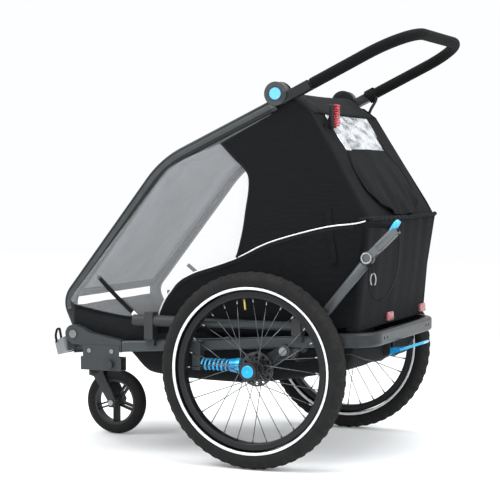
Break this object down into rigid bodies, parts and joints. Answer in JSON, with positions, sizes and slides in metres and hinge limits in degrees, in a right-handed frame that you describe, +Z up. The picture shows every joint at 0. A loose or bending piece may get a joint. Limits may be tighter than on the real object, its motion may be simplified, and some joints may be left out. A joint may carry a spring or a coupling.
{
  "type": "child bicycle trailer",
  "caption": "Child bicycle trailer set up as a stroller, with spoked wheels, a swivel caster, a fold-down upper frame, suspension arms and a tilting handlebar.",
  "frame": {"origin": "on the ground under the middle of the length and width", "axes": "+X to the vehicle's left, -Y to its front, +Z up"},
  "size_m": [0.813, 1.1446, 1.1302],
  "materials": {
    "frame_metal": "satin anthracite",
    "cast_metal": "satin anthracite, fine cast grain",
    "bolt_steel": "plain",
    "brake_steel": "brushed",
    "black_plastic": "fine grain",
    "blue_anodised": "anodised",
    "button_blue": "smooth",
    "shell_fabric": "coated woven polyester",
    "seat_fabric": "padded woven polyester",
    "webbing": "ribbed webbing",
    "mesh_fabric": "fine mesh",
    "clear_film": "clear flexible film",
    "tyre_rubber": "moulded tread",
    "rim_black": "satin black",
    "spoke_steel": "black coated",
    "foam_grip": "closed-cell foam",
    "red_lens": "moulded prisms"
  },
  "bodies": {
    "chassis": {"side_rails": "frame_metal", "corner_castings": "cast_metal", "front_bumper": "frame_metal", "rear_bumper": "frame_metal", "cross_tubes": "frame_metal", "floor_tub": "shell_fabric", "arm_brackets": "frame_metal", "chassis_bolts": "bolt_steel", "caster_mount": "frame_metal", "drawbar_socket": "cast_metal", "drawbar_holder": "black_plastic", "drawbar_tube": "frame_metal", "drawbar_sleeve": "black_plastic", "lower_panels": "shell_fabric", "luggage_box": "shell_fabric", "reflectors": "red_lens", "seat_cushion": "seat_fabric", "seat_back": "seat_fabric", "harness": "webbing", "brake_cables": "black_plastic", "spring_left": "blue_anodised", "spring_right": "blue_anodised"},
    "arm_left": {"swingarm_left": "frame_metal", "spring_boot_left": "blue_anodised"},
    "arm_right": {"swingarm_right": "frame_metal", "spring_boot_right": "blue_anodised"},
    "wheel_left": {"tyre_left": "tyre_rubber", "rim_left": "rim_black", "spokes_left": "spoke_steel", "hub_left": "black_plastic", "brake_disc_left": "brake_steel"},
    "wheel_right": {"tyre_right": "tyre_rubber", "rim_right": "rim_black", "spokes_right": "spoke_steel", "hub_right": "black_plastic", "brake_disc_right": "brake_steel"},
    "cap_left": {"hub_cap_left": "blue_anodised"},
    "cap_right": {"hub_cap_right": "blue_anodised"},
    "caster_swivel": {"caster_fork": "black_plastic", "caster_axle": "bolt_steel"},
    "caster_roller": {"caster_tyre": "tyre_rubber", "caster_wheel": "black_plastic"},
    "upper_frame": {"frame_tubes": "frame_metal", "top_cross_tube": "frame_metal", "hinge_housings": "cast_metal", "front_mesh": "mesh_fabric", "roof_panel": "shell_fabric", "canopy_sides": "shell_fabric", "side_windows": "clear_film", "rear_panel": "shell_fabric", "rear_window": "clear_film", "tail_light": "red_lens"},
    "handlebar": {"handle_tube": "frame_metal", "handle_grip": "foam_grip"},
    "button_left": {"hinge_button_left": "button_blue"},
    "button_right": {"hinge_button_right": "button_blue"},
    "pedal": {"brake_pedal": "blue_anodised"},
    "hitch": {"hitch_arm": "black_plastic"},
    "knob": {"socket_knob": "black_plastic"},
    "hoop": {"rear_hoop": "frame_metal"}
  },
  "joints": [
    {"name": "frame_fold", "type": "hinge", "parent": "chassis", "child": "upper_frame", "pos_m": [0, -0.3744, 0.322], "axis": [1, 0, 0], "range_deg": [-40, 0], "deforming": ["canopy_sides", "side_windows", "rear_panel", "rear_window", "seat_back", "harness", "lower_panels", "luggage_box"]},
    {"name": "hoop_fold", "type": "hinge", "parent": "chassis", "child": "hoop", "pos_m": [0, 0.2956, 0.325], "axis": [1, 0, 0], "range_deg": [0, 116]},
    {"name": "handle_tilt", "type": "hinge", "parent": "upper_frame", "child": "handlebar", "pos_m": [0, 0.2016, 0.964], "axis": [1, 0, 0], "range_deg": [-25, 140]},
    {"name": "button_press_left", "type": "slide", "parent": "handlebar", "child": "button_left", "axis": [-1, 0, 0], "range_m": [0, 0.003], "stiffness_N_per_m": 600},
    {"name": "button_press_right", "type": "slide", "parent": "handlebar", "child": "button_right", "axis": [1, 0, 0], "range_m": [0, 0.003], "stiffness_N_per_m": 600},
    {"name": "suspension_left", "type": "hinge", "parent": "chassis", "child": "arm_left", "pos_m": [0.325, 0.2456, 0.302], "axis": [1, 0, 0], "range_deg": [-12, 0], "stiffness_Nm_per_rad": 60, "springref_deg": 8.59, "deforming": ["spring_left"]},
    {"name": "suspension_right", "type": "hinge", "parent": "chassis", "child": "arm_right", "pos_m": [-0.325, 0.2456, 0.302], "axis": [1, 0, 0], "range_deg": [-12, 0], "stiffness_Nm_per_rad": 60, "springref_deg": 8.59, "deforming": ["spring_right"]},
    {"name": "wheel_spin_left", "type": "hinge", "parent": "arm_left", "child": "wheel_left", "pos_m": [0.3705, 0.1756, 0.254], "axis": [1, 0, 0], "continuous": true},
    {"name": "wheel_spin_right", "type": "hinge", "parent": "arm_right", "child": "wheel_right", "pos_m": [-0.3705, 0.1756, 0.254], "axis": [1, 0, 0], "continuous": true},
    {"name": "cap_press_left", "type": "slide", "parent": "wheel_left", "child": "cap_left", "axis": [-1, 0, 0], "range_m": [0, 0.003], "stiffness_N_per_m": 600},
    {"name": "cap_press_right", "type": "slide", "parent": "wheel_right", "child": "cap_right", "axis": [1, 0, 0], "range_m": [0, 0.003], "stiffness_N_per_m": 600},
    {"name": "caster_turn", "type": "hinge", "parent": "chassis", "child": "caster_swivel", "pos_m": [0, -0.4644, 0.22], "axis": [0, 0, 1], "continuous": true},
    {"name": "caster_spin", "type": "hinge", "parent": "caster_swivel", "child": "caster_roller", "pos_m": [0, -0.4074, 0.094], "axis": [1, 0, 0], "continuous": true},
    {"name": "brake_press", "type": "hinge", "parent": "chassis", "child": "pedal", "pos_m": [0, 0.4206, 0.275], "axis": [1, 0, 0], "range_deg": [-22, 0]},
    {"name": "hitch_swing", "type": "hinge", "parent": "chassis", "child": "hitch", "pos_m": [0.322, 0.4696, 0.546], "axis": [1, 0, 0], "range_deg": [-60, 60]},
    {"name": "socket_lock", "type": "slide", "parent": "chassis", "child": "knob", "axis": [1, 0, 0], "range_m": [0, 0.008], "stiffness_N_per_m": 500}
  ],
  "couplings": [
    {"joint": "hoop_fold", "follows": "frame_fold", "ratio": -2.85}
  ]
}
